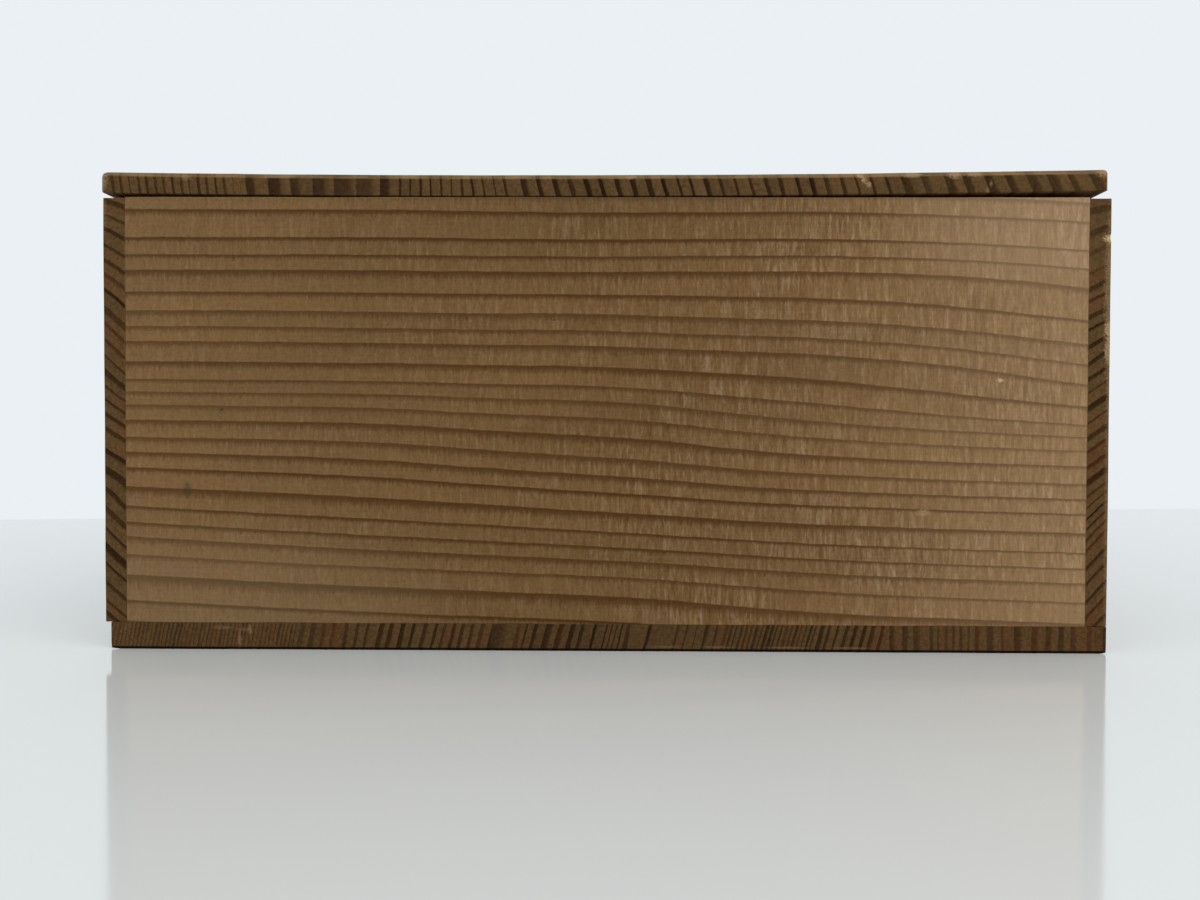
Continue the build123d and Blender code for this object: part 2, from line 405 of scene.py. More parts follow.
class BoardWood(Recipe):
    """Planed softwood of one board: rings, fibres, planer marks, end grain and rubbed edges."""

    def __init__(self, name, grain, finish):
        super().__init__(bpy.data.materials.new(name))
        self.grain, self.finish = grain, finish
        self.mm = self.places()
        self.along = self.mm[AXES[grain.along]]
        self.across = self.mm[AXES[grain.across]]
        self.depth = self.mm[AXES[grain.depth]]
        self.read_facing()
        self.lay_rings()
        self.lay_late_wood()
        self.lay_marks()

    def by_place(self, value):
        """A level that is one number, or that follows knots along an axis."""
        return self.profile(self.mm[AXES[value[0]]], value[1]) if isinstance(value, tuple) else value

    def board_clouds(self, along, across, depth, seed, **more):
        """Soft random values with so many cells per mm along, across and through the board."""
        return self.clouds(self.times(self.along, along), self.times(self.across, across),
                           self.add(self.times(self.depth, depth), seed), **more)

    def read_facing(self):
        """Finds cut ends, rounded edges and the underside by the way the surface faces."""
        faces = self.parts(self.node("ShaderNodeTexCoord").outputs["Normal"])
        sides = [self.maths("ABSOLUTE", face) for face in faces]
        self.cross_cut = self.ramp(sides[AXES[self.grain.along]], 0.25, 0.5)
        flatness = self.maths("MAXIMUM", self.maths("MAXIMUM", sides[0], sides[1]), sides[2])
        # rounded edges that do not face down, later painted pale: partly wear, partly painted highlight from
        # the light above
        self.rounded = self.times(self.ramp(flatness, 0.999, 0.965), self.ramp(faces[2], -0.35, -0.02))
        self.underside = self.ramp(faces[2], -0.5, -0.9)

    def lay_rings(self):
        """Finds the year that a place grew in, and how far through that year."""
        grain, seed = self.grain, self.grain.seed
        slow = self.clouds(self.times(self.along, 0.008), self.add(self.times(self.across, 0.02), seed),
                           self.times(self.depth, 0.05))
        fine = self.clouds(self.times(self.along, 0.16), self.add(self.times(self.across, 0.12), seed + 7),
                           self.times(self.depth, 0.2))
        waves = self.add(self.times(slow, 2 * grain.wander), self.times(fine, RING_RIPPLE))
        slope = self.profile(self.across, grain.lean)
        place = self.add(self.add(self.across, waves), self.times(slope, self.less(self.depth, grain.outer)))
        if grain.bend:
            place = grain.bend(self, place, self.along)
        ring = self.profile(place, grain.rings, smooth=False)
        if grain.uneven:
            shift = self.clouds(self.times(ring, 0.9), seed + 3, 0.0)
            ring = self.add(ring, self.times(shift, grain.uneven * 2))
        if grain.bark < 0:
            ring = self.times(ring, -1)
        self.year = self.maths("FLOOR", ring)
        self.share = self.less(ring, self.year)
        self.thick, self.dark, self.hue = self.chance(self.year, seed)

    def lay_late_wood(self):
        """Late wood: dark against the bark side, fading inwards in fine teeth."""
        teeth = self.board_clouds(1.5, 0.22, 0.22, self.grain.seed, detail=3, rough=0.65)
        breadth = self.ramp(self.thick, 0, 1, 0.65, 1.5, "LINEAR")
        soft_edge = self.ramp(self.share, 0.0, 0.05, 1.0, 0.0)
        weight = self.ramp(self.dark, 0, 1, 0.7, 1.0, "LINEAR")

        def late_wood(width, core, reach):
            band = self.times(breadth, self.by_place(width))
            ragged = self.add(self.share, self.times(self.times(teeth, reach), self.less(1.0, self.share)))
            fade = self.ramp(ragged, self.less(1.0, band), self.less(1.0, self.times(band, core)))
            glow = self.times(self.power(self.share, 1.6), 0.16)
            inner = self.add(self.times(fade, 0.86), glow)
            return self.times(self.maths("MAXIMUM", inner, soft_edge), weight)

        self.late = late_wood(self.finish.line, 0.12, 2.3)
        self.end_late = self.times(late_wood(self.finish.end_line, 0.55, 0.5),
                                   self.by_place(self.finish.end_contrast))

    def lay_marks(self):
        """Fibres, planer marks, clouds of tone, specks and the rays of the end grain."""
        seed = self.grain.seed
        self.fibre = self.board_clouds(0.035, 1.7, 1.7, seed, detail=3)
        self.cloud = self.board_clouds(0.016, 0.035, 0.03, seed + 5, detail=3)
        self.speck = self.board_clouds(0.9, 0.9, 0.9, seed, detail=3, rough=0.8)
        self.ray = self.clouds(self.times(self.across, 0.55), self.times(self.depth, 1.9),
                               self.add(self.times(self.along, 0.3), seed))
        planer = self.clouds(self.times(self.along, 0.75), self.times(self.across, 0.1),
                             self.add(self.times(self.year, 3.7), seed), detail=3, rough=0.8)
        patches = self.clouds(self.times(self.along, 0.025), self.times(self.across, 0.04), seed + 11)
        patches = self.ramp(patches, -0.15, 0.2, 0.45, 1.0)
        self.planer = self.times(planer, self.times(patches, self.by_place(self.finish.streaks)))

    def level(self, fibres, clouds, hues, specks):
        """A level about 1, from the marks by their shares."""
        level = self.add(1.0, fibres)
        level = self.add(level, self.add(self.times(self.cloud, clouds),
                                         self.times(self.less(self.hue, 0.5), hues)))
        return self.add(level, self.times(self.speck, specks))

    def face_colour(self):
        """The long faces: rings, with pale and dark planer streaks across the fibres, partly painted light
        and shade of the planer's ripples.
        """
        finish = self.finish
        face = self.blend(self.late, finish.early, finish.late)
        pale = self.ramp(self.planer, 0, 0.5, 0, PALE_STREAKS, "LINEAR")
        face = self.blend(self.times(pale, self.less(1.0, self.late)), face, STREAK)
        face = self.blend(self.ramp(self.planer, 0, -0.4, 0, DARK_STREAKS, "LINEAR"), face, finish.late)
        return self.shade(face, self.level(self.times(self.fibre, FIBRE_LEVEL), 0.30, 0.07, 0.9))

    def end_colour(self):
        """The cut ends: darker, with some red years and fine rays."""
        finish = self.finish
        end = self.blend(self.end_late, finish.end_early, finish.end_late)
        end = self.blend(self.times(self.power(self.hue, 2.0), finish.red), end, RED_YEAR)
        return self.shade(end, self.level(self.times(self.ray, 0.45), 0.30, 0.22, 1.6))

    def aged(self, colour):
        """The colour under its painted sheen, tone, painted foot shade and rubbed edges, which are partly
        painted highlight.
        """
        finish = self.finish
        # painted sheen: the face is blended towards a pale grey, less on the late wood
        if finish.bleach:
            share = self.times(self.by_place(finish.bleach), self.less(1.0, self.times(self.late, 0.35)))
            colour = self.blend(share, colour, SHEEN_COLOUR)
        if finish.tone:
            colour = self.shade(colour, self.by_place(finish.tone))
        # painted shade: the foot goes dark towards the table, for the contact shadow there, except on faces
        # that look down
        if finish.grime:
            grime = self.times(self.ramp(self.mm[2], *finish.grime, 0.96, 0), self.less(1.0, self.underside))
            colour = self.blend(grime, colour, FOOT_SHADE_COLOUR)
        # rubbed edges: rounded edges that face up or out are painted pale, partly wear and partly painted
        # highlight
        patch = self.ramp(self.board_clouds(0.1, 0.1, 0.3, self.grain.seed, detail=3), -0.18, 0.14, 0.4, 1.0)
        rubbed = self.times(self.times(self.rounded, patch), self.by_place(finish.worn_share))
        return self.blend(rubbed, colour, finish.worn)

    def stained(self, colour):
        """The colour with the board's marks, whose edges are torn; some marks are partly painted highlight
        on rubbed edges.
        """
        torn = self.clouds(self.times(self.mm[0], 1.3), self.times(self.mm[2], 1.3), self.grain.seed + 21,
                           detail=3, rough=0.7)
        for centre, half, tint, strength in self.finish.stains:
            reach = 0.0
            for axis in range(3):
                off = self.maths("DIVIDE", self.less(self.mm[axis], centre[axis]), half[axis])
                reach = self.add(self.times(off, off), reach)
            ragged = min(3.2, 10 / min(half[0], half[2]))
            share = self.ramp(self.add(reach, self.times(torn, ragged)), 1.1, -0.1)
            colour = self.blend(self.times(share, strength), colour, tint)
        return colour

    def heights(self):
        """Late wood stands up a little; planer marks, fibres and specks are uneven."""
        uneven = self.add(self.times(self.fibre, 0.8), self.times(self.speck, 0.7))
        face = self.add(self.times(self.late, 0.5), self.add(self.times(self.planer, 1.6), uneven))
        rough = self.add(self.times(self.speck, 1.6), self.times(self.ray, 0.6))
        end = self.add(self.times(self.end_late, 0.6), rough)
        return self.between(self.cross_cut, face, end)

    def made(self):
        """The board's finished material."""
        colour = self.blend(self.cross_cut, self.face_colour(), self.end_colour())
        dull = self.times(self.maths("MAXIMUM", self.cross_cut, self.underside), 0.25)
        uneven = self.add(self.times(self.late, -0.06), self.times(self.cloud, 0.2))
        return self.done(self.surface({
            "Base Color": self.stained(self.aged(colour)),
            "Roughness": self.add(self.add(FACE_ROUGHNESS, dull), uneven),
            "IOR": 1.45,
            "Specular IOR Level": self.ramp(self.cross_cut, 0, 1, 0.06, 0.02, "LINEAR"),
            "Normal": self.relief(self.heights(), 0.45, 0.12 * MM),
        }))


def wood(name, grain, finish):
    """The material of one board."""
    return BoardWood(name, grain, finish).made()


def peg_wood(name, c, axis):
    """Burnished end grain of a split peg, with fibres along it."""
    r = Recipe(bpy.data.materials.new(name))
    parts = r.places()
    along = parts.pop(AXES[axis])
    speck = r.clouds(r.times(parts[0], 3.2), r.times(parts[1], 3.2), r.times(along, 0.25), detail=3)
    rings = r.maths("FRACT", r.times(r.add(r.times(parts[0], 0.8), r.times(parts[1], 0.6)), 1.3))
    base = r.blend(r.times(rings, 0.5), c["peg"], tuple(level * 0.45 for level in c["peg"]))
    return r.done(r.surface({
        "Base Color": r.shade(base, r.add(1.0, r.times(speck, 0.7))),
        "Roughness": r.add(0.5, r.times(speck, 0.2)),
        "Normal": r.relief(speck, 0.4, 0.1 * MM),
    }))


def colours():
    """The wood colours that the panel holds, as plain tuples."""
    held = bpy.context.scene.storage_box_wood
    return {key: tuple(getattr(held, key)) for key in
            ("wall_early", "wall_late", "end_early", "end_late", "worn", "peg")}


def wall_finish(c, **changes):
    """The finish of a board in the panel's colours, with its own changes."""
    return Finish(c["wall_early"], c["wall_late"], c["end_early"], c["end_late"], c["worn"], **changes)


def year_places(start, widths):
    """Ring knots from one edge place and the widths of the years that follow it downwards."""
    knots = [(start, 0)]
    for number, width in enumerate(widths, 1):
        knots.append((knots[-1][0] - width, -number))
    return tuple(reversed(knots))


# Shapes

def board_block(lo, hi, cells):
    """A board's block in a bmesh, cut into cells of about the given length on each axis."""
    bm = bmesh.new()
    bmesh.ops.create_cube(bm, size=1.0)
    bmesh.ops.scale(bm, vec=hi - lo, verts=bm.verts)
    bmesh.ops.translate(bm, vec=(lo + hi) / 2, verts=bm.verts)
    for axis in range(3):
        cuts = round((hi[axis] - lo[axis]) / cells[axis]) - 1
        if cuts > 0:
            along = [e for e in bm.edges
                     if abs((e.verts[0].co - e.verts[1].co)[axis]) > 0.9 * e.calc_length()]
            bmesh.ops.subdivide_edges(bm, edges=along, cuts=cuts, use_grid_fill=True)
    return bm


def edge_sides(edge, lo, hi):
    """Names such as '-Y+Z' of the two faces that a board's edge lies between."""
    middle = (edge.verts[0].co + edge.verts[1].co) / 2
    names = ""
    for axis, letter in enumerate("XYZ"):
        if abs(middle[axis] - lo[axis]) < TOUCHING:
            names += "-" + letter
        elif abs(middle[axis] - hi[axis]) < TOUCHING:
            names += "+" + letter
    return names


def applied(obj):
    """Puts what the modifiers make into the object's own mesh."""
    bpy.context.view_layer.update()
    graph = bpy.context.evaluated_depsgraph_get()
    old = obj.data
    obj.data = bpy.data.meshes.new_from_object(obj.evaluated_get(graph), preserve_all_data_layers=True,
                                               depsgraph=graph)
    obj.modifiers.clear()
    bpy.data.meshes.remove(old)


def shown(name, bm):
    """A new object of the bmesh, linked to the scene."""
    mesh = bpy.data.meshes.new(name)
    bm.to_mesh(mesh)
    bm.free()
    obj = bpy.data.objects.new(name, mesh)
    bpy.context.scene.collection.objects.link(obj)
    return obj


def rub_arrises(bm, lo, hi, reach, deepest, seed, glued):
    """Rubs a board's rounded edges back unevenly, except round a side that is glued to another board."""
    for v in bm.verts:
        gaps = sorted((min(v.co[a] - lo[a], hi[a] - v.co[a]), a) for a in range(3))
        second = gaps[1][0]
        if second > reach * 1.01:
            continue
        if glued and abs(v.co.x - (lo.x if glued == "-X" else hi.x)) < reach:
            continue
        coarse = noise.noise(v.co * 42 + Vector((seed, 0, 0)))
        fine = noise.noise(v.co * 90 + Vector((0, seed, 0)))
        depth = deepest * max(0.0, 0.35 + (coarse + 0.3 * fine))
        for _, axis in gaps[:2]:
            inward = 1 if v.co[axis] - lo[axis] < hi[axis] - v.co[axis] else -1
            v.co[axis] += inward * depth * 0.7


def nick_cutter(bm, centre, half, seed):
    """A small rough lump that takes a chip out of a board."""
    made = bmesh.ops.create_icosphere(bm, subdivisions=2, radius=1.0)
    rng = random.Random(seed)
    for v in made["verts"]:
        v.co *= 1 + rng.uniform(-0.16, 0.16)
    bmesh.ops.rotate(bm, cent=(0, 0, 0), verts=made["verts"],
                     matrix=Matrix.Rotation(rng.uniform(-0.5, 0.5), 3, "Y"))
    bmesh.ops.scale(bm, vec=Vector(half) * MM, verts=made["verts"])
    bmesh.ops.translate(bm, vec=Vector(centre) * MM, verts=made["verts"])


def islands(node):
    """The lowest and highest corners of each separate solid in a CAD node."""
    bm = bmesh.new()
    bm.from_mesh(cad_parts[node].data)
    bmesh.ops.remove_doubles(bm, verts=bm.verts, dist=TOUCHING)
    left = set(bm.verts)
    boxes = []
    while left:
        group = set()
        edge = [next(iter(left))]
        while edge:
            v = edge.pop()
            if v in group:
                continue
            group.add(v)
            edge += [e.other_vert(v) for e in v.link_edges]
        left -= group
        boxes.append((Vector([min(v.co[a] for v in group) for a in range(3)]),
                      Vector([max(v.co[a] for v in group) for a in range(3)])))
    bm.free()
    return sorted(boxes, key=lambda b: tuple(b[0]))


# Peg nodes, the axis they lie on, and the side of the box that they are driven in from
PEG_ROWS = {
    "front_left_corner_pegs": ("X", -1), "rear_left_corner_pegs": ("X", -1),
    "front_right_corner_pegs": ("X", 1), "rear_right_corner_pegs": ("X", 1),
    "left_bottom_pegs": ("Z", -1), "right_bottom_pegs": ("Z", -1),
    "front_bottom_pegs": ("Z", -1), "rear_bottom_pegs": ("Z", -1),
    "front_batten_pegs": ("Z", -1), "rear_batten_pegs": ("Z", -1),
}


def along_axis(verts, bm, axis):
    """Turns a shape that stands on Z to lie along another axis."""
    if axis == "X":
        bmesh.ops.rotate(bm, cent=(0, 0, 0), verts=verts, matrix=Matrix.Rotation(math.pi / 2, 3, "Y"))


def add_rod(bm, radius, length):
    """Adds an upright rod, and gives its vertices."""
    made = bmesh.ops.create_cone(bm, cap_ends=True, segments=PEG_SIDES, radius1=radius, radius2=radius,
                                 depth=length)
    return made["verts"]


def hole_cutters(bm, rows):
    """Adds a rod for each peg of the rows, a little wider and longer than the peg."""
    for node in rows:
        letter, outside = PEG_ROWS[node]
        axis = AXES[letter]
        for lo, hi in islands(node):
            radius = (hi[1] - lo[1]) / 2 + PEG_CLEARANCE * MM
            below, above = HOLE_SPARE_DEPTH, HOLE_OVERRUN
            if outside < 0:
                below, above = above, below
            start = lo[axis] - below * MM
            end = hi[axis] + above * MM
            verts = add_rod(bm, radius, end - start)
            along_axis(verts, bm, letter)
            middle = (lo + hi) / 2
            middle[axis] = (start + end) / 2
            bmesh.ops.translate(bm, vec=middle, verts=verts)


def cut_away(obj, cutter_bm):
    """Takes the cutters' shapes out of a board."""
    if not cutter_bm.faces:
        cutter_bm.free()
        return
    bmesh.ops.recalc_face_normals(cutter_bm, faces=cutter_bm.faces)
    cutter = shown(obj.name + "_cutter", cutter_bm)
    cut = obj.modifiers.new("cut", "BOOLEAN")
    cut.operation = "DIFFERENCE"
    cut.solver = "EXACT"
    cut.object = cutter
    applied(obj)
    mesh = cutter.data
    bpy.data.objects.remove(cutter)
    bpy.data.meshes.remove(mesh)


def board_cells(lo, hi, fine_axis):
    """Lengths of the cells of a board's faces; its thickness stays whole."""
    cell = bpy.context.scene.storage_box_shape.cell
    cells = [cell] * 3
    if fine_axis:
        cells[AXES[fine_axis]] = cell / 2
    thin = min(range(3), key=lambda a: hi[a] - lo[a])
    cells[thin] = hi[thin] - lo[thin]
    return cells


def soften_arrises(name, bm, lo, hi, radii, widest, glued):
    """The board's object with each edge rounded by its own radius, and the widest of these."""
    plain = bpy.context.scene.storage_box_shape.board_arris
    weight = bm.edges.layers.float.new("bevel_weight_edge")
    for e in bm.edges:
        sides = edge_sides(e, lo, hi)
        if len(sides) >= 4:
            radius = 0 if glued and glued in sides else radii.get(sides, plain)
            widest = max(widest, radius)
            e[weight] = radius
    for e in bm.edges:
        e[weight] /= widest
    obj = shown(name + "_wood", bm)
    bevel = obj.modifiers.new("arris", "BEVEL")
    bevel.limit_method = "WEIGHT"
    bevel.width = widest
    bevel.segments = ARRIS_SEGMENTS
    applied(obj)
    return obj, widest


def cup_board(bm):
    """Bends the lid's planks up towards both long edges."""
    for v in bm.verts:
        v.co.z += (v.co.x / MM - LID_LOWEST_X) ** 2 / (2 * LID_CUP_RADIUS) * MM


def make_board(name, body, material, radii=None, peg_rows=(), nicks=(), fine_axis=None,
               cup=False, glued="", seed=1.0):
    """A board in a CAD node's place: softened uneven arrises, peg holes and nicks."""
    shape = bpy.context.scene.storage_box_shape
    lo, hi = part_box(name)
    if cup:
        lo.z, hi.z = LID_UNDERSIDE * MM, (LID_UNDERSIDE + LID_THICKNESS) * MM
    obj, widest = soften_arrises(name, board_block(lo, hi, board_cells(lo, hi, fine_axis)), lo, hi,
                                 radii or {}, shape.lid_arris if cup else shape.board_arris, glued)

    bm = bmesh.new()
    bm.from_mesh(obj.data)
    rub_arrises(bm, lo, hi, widest, shape.wear_depth, seed, glued)
    if cup:
        cup_board(bm)
    for f in bm.faces:
        f.smooth = True
    bm.to_mesh(obj.data)
    bm.free()

    cutters = bmesh.new()
    hole_cutters(cutters, peg_rows)
    for number, (centre, half) in enumerate(nicks):
        nick_cutter(cutters, centre, half, int(seed * 100) + number)
    cut_away(obj, cutters)
    obj.data.set_sharp_from_angle(angle=math.radians(BOARD_SHARP_DEGREES))
    flat = obj.modifiers.new("flat faces", "WEIGHTED_NORMAL")
    flat.keep_sharp = True
    flat.weight = 80
    applied(obj)

    obj.data.materials.clear()
    obj.data.materials.append(material)
    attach(obj, body)
    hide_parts(name)


# The boards' wood

# The front board's years at mid length, from its top ring down, in mm
FRONT_TOP_RING = 145.3
FRONT_YEARS = (9, 5.5, 5, 7.5, 6.5, 5.5, 5, 7, 6.5, 5, 5.5, 6, 7,
               6, 5.5, 6.5, 6.5, 5, 4.5, 5.5, 6.5, 8.5, 7, 6, 6, 7)
YEARS_ABOVE_FRONT = ((FRONT_TOP_RING + 6, 1), (FRONT_TOP_RING + 14, 2))


def front_bend(r, place, along):
    """The front board's rings rise towards the left and fall towards the right, most below mid height."""
    rise = r.profile(place, ((0, 6.4), (26, 6.7), (39, 7.8), (50, 8.3), (61, 8.0), (71, 6.4), (82, 4.1),
                             (96, 1.6), (108, 1.2), (126, 0.6), (150, 1.1)))
    fall = r.profile(place, ((0, 9.3), (16, 8.2), (33, 6.6), (45, 6.7), (55, 8.2), (70, 11.0), (84, 12.8),
                             (94, 11.2), (108, 9.0), (118, 6.6), (126, 4.3), (141, 3.3), (155, 3.1)))
    low = r.profile(along, ((-168, -1.04), (-83, -0.46), (0, 0.0), (78, 0.64), (168, 1.02)))
    high = r.profile(along, ((-168, -1.04), (-83, -0.8), (-40, -0.36), (0, 0.0), (78, 0.27), (168, 1.05)))
    top = r.profile(along, ((-168, -1.04), (-83, -0.8), (-40, -0.36), (0, 0.0), (30, -0.05), (60, -0.08),
                            (90, 0.02), (120, 0.27), (168, 1.05)))
    side = r.ramp(along, -40, 40)
    share = r.between(side, r.ramp(place, 30, 85), r.ramp(place, 62, 105))
    upper = r.between(r.ramp(place, 112, 130), high, top)
    return r.add(place, r.times(r.between(side, rise, fall), r.between(share, low, upper)))


def mark(x, z, half_x, half_z, colour, strength, half_y=2):
    """A mark on the box's front: its centre and half sizes in mm, its colour and its strength."""
    return (x, FRONT_Y, z), (half_x, half_y, half_z), colour, strength


FRONT_STAINS = tuple(mark(*values, half_y=3) for values in (
    (160, 142, 75, 26, SUNNED, 0.17),
    (0, 144, 75, 24, paint(70, 50, 28), 0.14),
    (-125, 18, 90, 26, SUNNED, 0.08),
    (-138.8, 53.0, 1.7, 3.2, paint(64, 54, 34), 0.7),
    (-88.0, 18.5, 2.6, 1.0, SCUFF, 0.25),
    (-84.0, 15.5, 2.8, 1.0, SCUFF, 0.22),
    (-127.2, 80.0, 2.4, 2.0, paint(84, 68, 46), 0.4),
    (-127.2, 80.0, 0.5, 0.5, paint(40, 28, 16), 0.8),
    (7.5, 13.2, 5.0, 2.4, SCUFF, 0.2),
    (130.5, 90.4, 1.4, 0.7, paint(196, 168, 132), 0.8),
    (105.5, 46.6, 2.8, 1.3, paint(166, 136, 96), 0.6),
))
LEFT_STAINS = (
    mark(-167.2, 145.0, 2.4, 9.0, RUBBED, 0.5),
    mark(-167.2, 112.0, 1.0, 30.0, paint(116, 94, 66), 0.3),
)
# The right board's outer corner is rubbed pale and chipped; the long pale bands along it are partly painted
# highlight
RIGHT_MARKS_AND_HIGHLIGHTS = (
    mark(166.6, 117.0, 2.5, 38.0, paint(128, 106, 78), 0.8),
    mark(166.8, 50.0, 1.9, 78.0, paint(122, 100, 72), 0.6),
    mark(166.6, 137.0, 3.4, 1.7, paint(184, 156, 116), 0.95, half_y=3),
    mark(166.2, 107.0, 2.0, 3.6, CHIPPED, 0.85),
    mark(166.2, 100.0, 1.8, 5.0, CHIPPED, 0.75),
)
# Pale chips and rubbed places along the lid's top front arris, partly painted highlight where it catches the
# light from above
LID_MARKS_AND_HIGHLIGHTS = (
    mark(8.6, 157.2, 2.0, 1.1, PALE, 0.6),
    mark(83.9, 157.6, 1.5, 1.0, PALE, 0.9),
    mark(85.3, 156.2, 1.3, 1.2, PALE, 0.85),
    mark(86.8, 154.7, 1.0, 1.1, PALE, 0.75),
    mark(101.0, 157.9, 4.0, 1.3, PALE, 0.6),
    mark(115.0, 157.9, 3.0, 1.5, PALE, 0.65),
    mark(121.5, 158.2, 3.4, 1.3, PALE, 0.55),
    mark(125.7, 153.0, 0.45, 1.3, PALE, 0.32),
    mark(126.9, 155.0, 0.55, 1.5, PALE, 0.38),
    mark(164.5, 159.0, 4.0, 2.4, PALE, 0.7),
)
LID_EDGE_STAINS = (
    mark(-167.0, 155.5, 2.4, 4.2, PALE, 0.6),
    mark(-139.0, 156.9, 2.2, 1.3, PALE, 0.3),
)
# The foot of the bottom board: painted shade where it meets the table, and pale places above, partly rubbed
# and partly painted highlight
FOOT_SHADE_HEIGHTS = (0.75, 1.1)
FOOT_MARKS_AND_HIGHLIGHTS = (
    # pale dashes along the lower front arris: partly rubbed, partly painted highlight
    mark(20, 1.6, 6, 0.45, FOOT_RUBBED_AND_LIT, 0.35),
    mark(38, 1.6, 7, 0.45, FOOT_RUBBED_AND_LIT, 0.35),
    mark(61, 1.5, 9, 0.45, FOOT_RUBBED_AND_LIT, 0.4),
    mark(82, 1.5, 7, 0.45, FOOT_RUBBED_AND_LIT, 0.4),
    mark(-127.0, 7.4, 4.0, 0.9, RUBBED, 0.35),
    mark(-120.0, 6.8, 3.0, 0.9, RUBBED, 0.3),
    mark(-118.0, 6.6, 0.6, 1.9, FOOT_SCRATCH, 0.6),
    mark(-121.5, 3.4, 0.6, 3.0, FOOT_SCRATCH, 0.6),
)

# Chips: centre and half sizes in mm
FRONT_NICKS = (
    ((-16.8, -212.1, 109.8), (1.1, 0.35, 0.45)),
    ((105.5, -212.1, 46.3), (1.3, 0.25, 0.3)),
    ((137.5, -212.1, 45.4), (0.5, 0.25, 0.4)),
)
LEFT_NICKS = (((-167.3, -212.1, 110.4), (0.5, 0.8, 1.5)),)
RIGHT_NICKS = (((166.6, -212.2, 137.5), (1.9, 1.0, 1.7)),)
LID_NICKS = (
    ((8.4, -212.2, 157.7), (1.3, 0.6, 0.9)),
    ((84.0, -212.1, 157.8), (1.1, 0.5, 1.0)),
    ((86.0, -212.1, 155.4), (0.9, 0.35, 0.7)),
)


class OBJECT_OT_storage_box_end_boards(bpy.types.Operator):
    """Makes the two short walls, with their growth rings lying level"""
    bl_idname = "object.storage_box_end_boards"
    bl_label = "Make the end boards"
    bl_options = {"REGISTER", "UNDO"}

    def execute(self, context):
        c = colours()
        front_lo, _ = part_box("front_end_board")
        _, rear_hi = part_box("rear_end_board")
        joints = {sides: TIGHT_ARRIS for sides in ("-X-Y", "+X-Y", "-X+Y", "+X+Y", "-Y-Z", "+Y-Z")}
        front = wood("front board wood", Grain(
            "X", "Z", "Y", year_places(FRONT_TOP_RING, FRONT_YEARS) + YEARS_ABOVE_FRONT,
            lean=((0, 0.5), (160, 0.2)), outer=front_lo.y / MM, seed=4.0, bend=front_bend, wander=0.6,
            uneven=0.0), wall_finish(
                c, stains=FRONT_STAINS,
                line=("X", ((-168, 0.37), (0, 0.38), (90, 0.27), (168, 0.17))),
                # lighter towards the right: partly the wood's own colour, partly painted light from the
                # window on the right; the pale blend below it is painted sheen
                tone=("X", ((-168, 1.0), (-60, 0.9), (30, 0.93), (100, 1.06), (168, 1.2))),
                bleach=("X", ((-168, 0.05), (-100, 0.02), (0, 0.0), (60, 0.03), (120, 0.14), (168, 0.24))),
                # planer streaks grow towards the right, partly as painted raking light from the window there
                streaks=("X", ((-168, 0.5), (-60, 0.8), (20, 1.5), (168, 1.9)))))
        make_board("front_end_board", "box", front, radii=joints, peg_rows=END_ROWS["front"],
                   nicks=FRONT_NICKS, seed=1.3)
        rear = wood("rear board wood", Grain(
            "X", "Z", "Y", ((0, 0), (40, 8), (90, 17), (130, 22), (160, 27)),
            lean=((0, -0.3), (160, -0.6)), outer=rear_hi.y / MM, seed=9.0, wander=2.4, uneven=0.3),
            wall_finish(c))
        make_board("rear_end_board", "box", rear, radii=joints, peg_rows=END_ROWS["rear"],
                   seed=2.1)
        return {"FINISHED"}


class OBJECT_OT_storage_box_side_boards(bpy.types.Operator):
    """Makes the two long walls, whose end grain shows beside the front board"""
    bl_idname = "object.storage_box_side_boards"
    bl_label = "Make the side boards"
    bl_options = {"REGISTER", "UNDO"}

    def execute(self, context):
        c = colours()
        left_lo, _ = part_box("left_side_board")
        _, right_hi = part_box("right_side_board")
        left = wood("left board wood", Grain(
            "Y", "Z", "X", ((0, 0), (17.5, 4), (41.5, 8), (74.5, 13), (98.5, 18), (125.5, 23), (150, 28),
                            (170, 32)),
            lean=((0, 0.8), (20, 0.9), (45, 0.95), (60, 0.6), (80, 0.7), (100, 0.9), (120, 0.7),
                  (150, 0.36)),
            outer=left_lo.x / MM, seed=14.0, wander=0.8, uneven=0.35), wall_finish(
                c, end_line=0.36, end_contrast=0.9, red=0.3, stains=LEFT_STAINS,
                tone=("Z", ((0, 0.98), (150, 1.02)))))
        make_board("left_side_board", "box", left,
                   radii={"+X-Y": TIGHT_ARRIS, "+X+Y": TIGHT_ARRIS}, peg_rows=SIDE_ROWS["left"],
                   nicks=LEFT_NICKS, seed=3.7)
        right = wood("right board wood", Grain(
            "Y", "Z", "X", ((0, 0), (14.5, 3), (42, 8), (57.5, 13), (86.5, 19), (111, 24), (129, 28),
                            (148.5, 31), (170, 35)),
            lean=((0, -1.1), (25, -1.1), (45, -0.9), (60, -0.7), (90, -0.7), (110, -0.5), (130, -0.45),
                  (150, -0.2)),
            outer=right_hi.x / MM, seed=19.0, wander=0.8, uneven=0.3), wall_finish(
                c, end_line=0.36, worn_share=0.5, red=0.5, stains=RIGHT_MARKS_AND_HIGHLIGHTS,
                end_contrast=("Z", ((0, 0.95), (118, 0.9), (130, 0.6), (152, 0.6))),
                tone=("Z", ((0, 0.97), (95, 1.0), (150, 0.96)))))
        make_board("right_side_board", "box", right,
                   radii={"-X-Y": TIGHT_ARRIS, "-X+Y": TIGHT_ARRIS}, peg_rows=SIDE_ROWS["right"],
                   nicks=RIGHT_NICKS, seed=4.4)
        return {"FINISHED"}


